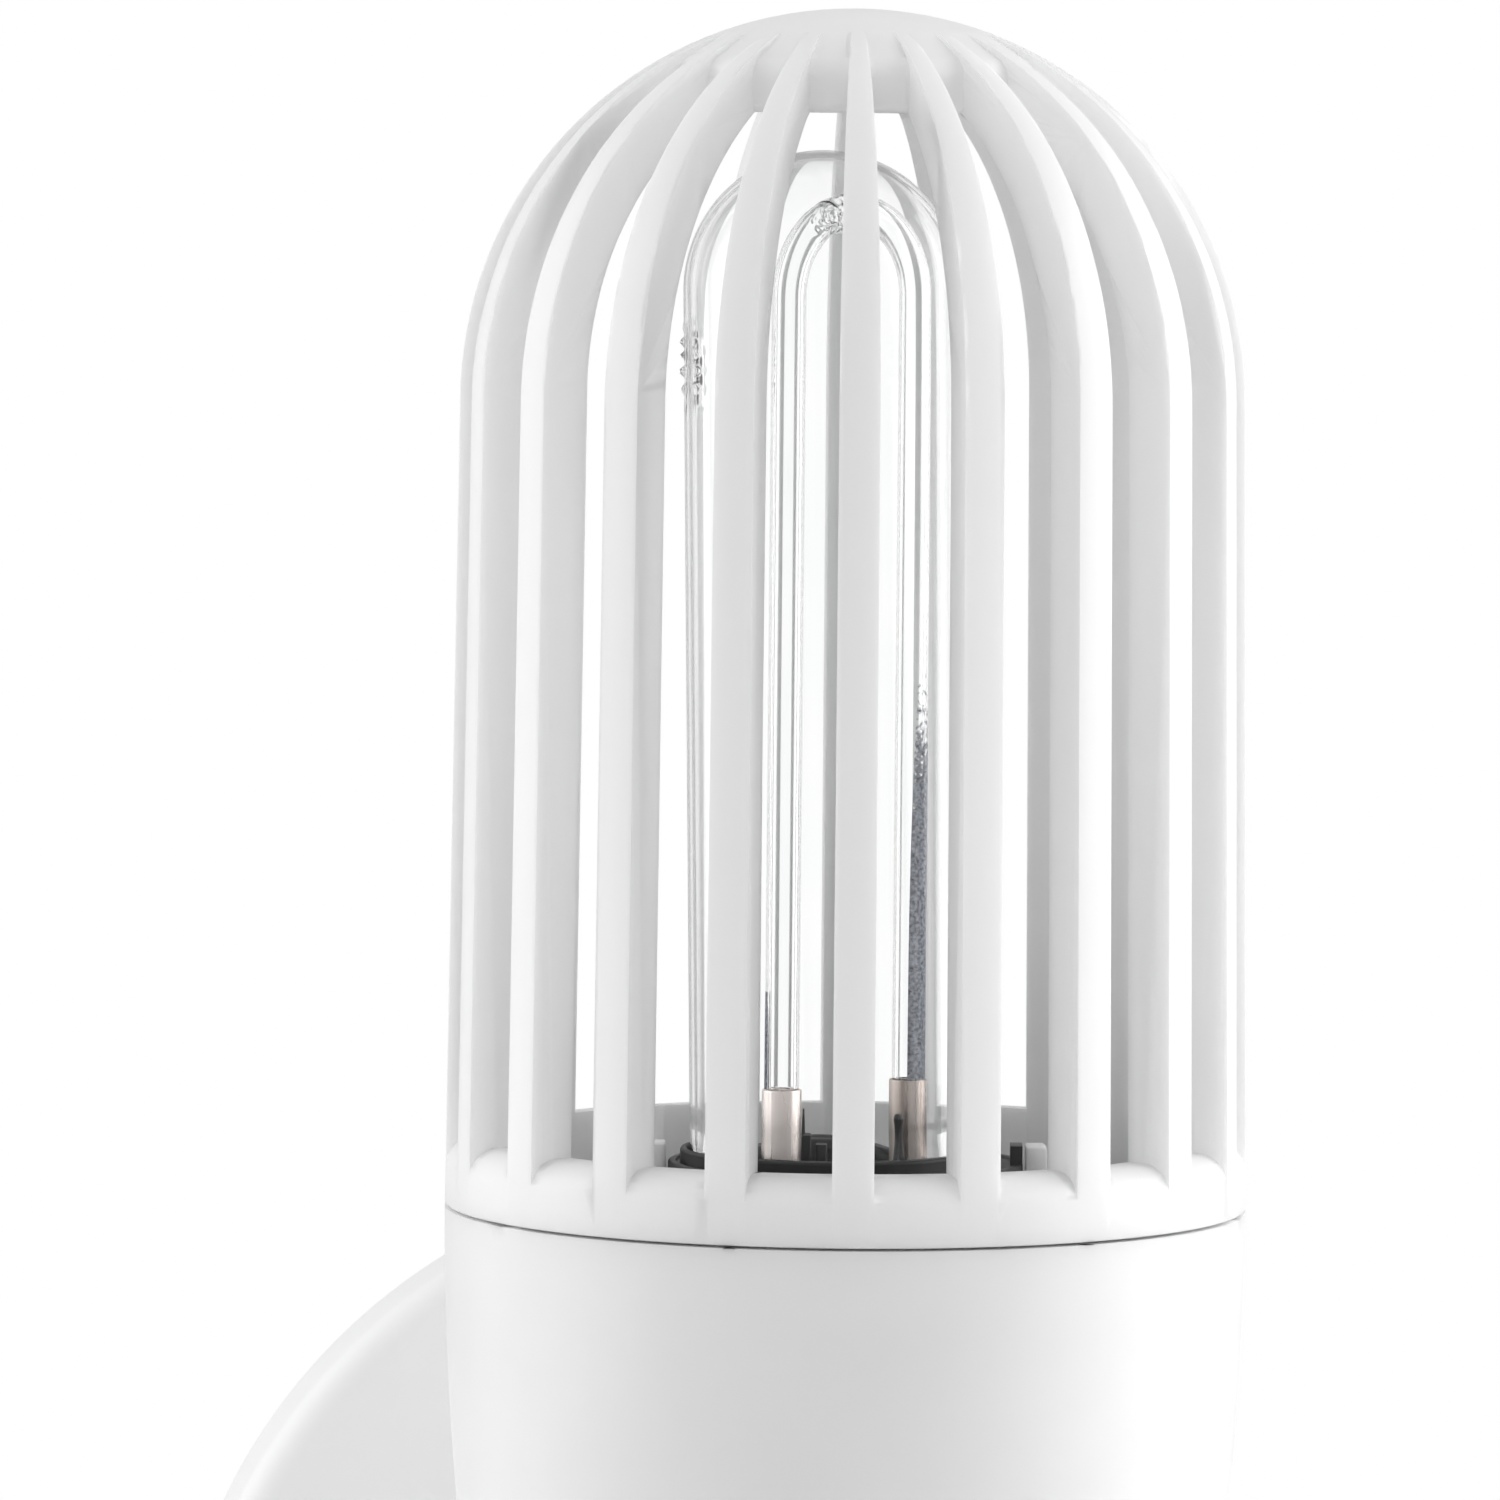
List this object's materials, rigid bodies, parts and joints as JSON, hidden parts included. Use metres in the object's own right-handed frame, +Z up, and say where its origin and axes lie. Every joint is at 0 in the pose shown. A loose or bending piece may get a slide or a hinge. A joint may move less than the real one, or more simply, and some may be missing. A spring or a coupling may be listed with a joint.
{
  "type": "electric bug zapper",
  "caption": "Wall-hung electric insect killer: tapered body with a ribbed dome cage over a bent ultraviolet lamp, on a round wall canopy.",
  "frame": {"origin": "centre of the wall bracket's back face, on the wall", "axes": "+Z up along the body, +Y into the wall, so the appliance stands out towards -Y; +X to the viewer's right"},
  "size_m": [0.16, 0.144, 0.3232],
  "materials": {
    "white_plastic": "satin white moulding",
    "black_plastic": "satin black moulding",
    "clear_glass": "clear, polished",
    "tube_metal": "pinkish silver, drawn",
    "steel": "zinc plated",
    "ceramic": "unglazed cream",
    "board": "green circuit board",
    "rubber": "black"
  },
  "bodies": {
    "housing": {"body_shell": "white_plastic", "lamp_deck": "white_plastic", "lamp_clip_left": "white_plastic", "lamp_clip_right": "white_plastic", "fan_bracket": "white_plastic", "neck_arm": "white_plastic", "wall_canopy": "white_plastic", "lamp_base": "black_plastic", "lead_clamp_large": "black_plastic", "lead_clamp_small": "black_plastic", "tube_stay": "black_plastic", "switch_body": "black_plastic", "hv_transformer": "black_plastic", "lamp_jacket": "clear_glass", "uv_tube": "clear_glass", "tube_cap_near": "tube_metal", "tube_cap_far": "tube_metal", "lamp_socket": "ceramic", "grid_insulator_1": "ceramic", "grid_insulator_2": "ceramic", "grid_insulator_3": "ceramic", "hv_capacitor_1": "ceramic", "hv_capacitor_2": "ceramic", "terminal_block": "ceramic", "grid_live": "steel", "grid_ground": "steel", "fan_motor": "steel", "wall_bracket": "steel", "lamp_ballast": "steel", "deck_screw_1": "steel", "deck_screw_2": "steel", "deck_screw_3": "steel", "canopy_screw_left": "steel", "canopy_screw_right": "steel", "body_upper_screw": "steel", "body_lower_screw": "steel", "neck_upper_screw": "steel", "neck_lower_screw": "steel", "circuit_board": "board", "cable_grommet": "rubber", "lead_harness": "rubber"},
    "cage": {"cage": "white_plastic"},
    "tray": {"collection_tray": "white_plastic"},
    "fan": {"fan_impeller": "black_plastic", "fan_shaft": "steel"},
    "button": {"switch_button": "white_plastic"}
  },
  "joints": [
    {"name": "cage_lift", "type": "slide", "parent": "housing", "child": "cage", "axis": [0, 0, 1], "range_m": [0, 0.15]},
    {"name": "tray_drop", "type": "slide", "parent": "housing", "child": "tray", "axis": [0, 0, -1], "range_m": [0, 0.08]},
    {"name": "fan_spin", "type": "hinge", "parent": "housing", "child": "fan", "pos_m": [0, -0.091, 0.026], "axis": [0, 0, 1], "continuous": true},
    {"name": "button_press", "type": "slide", "parent": "housing", "child": "button", "axis": [0, 1, 0], "range_m": [0, 0.0025], "stiffness_N_per_m": 400}
  ]
}
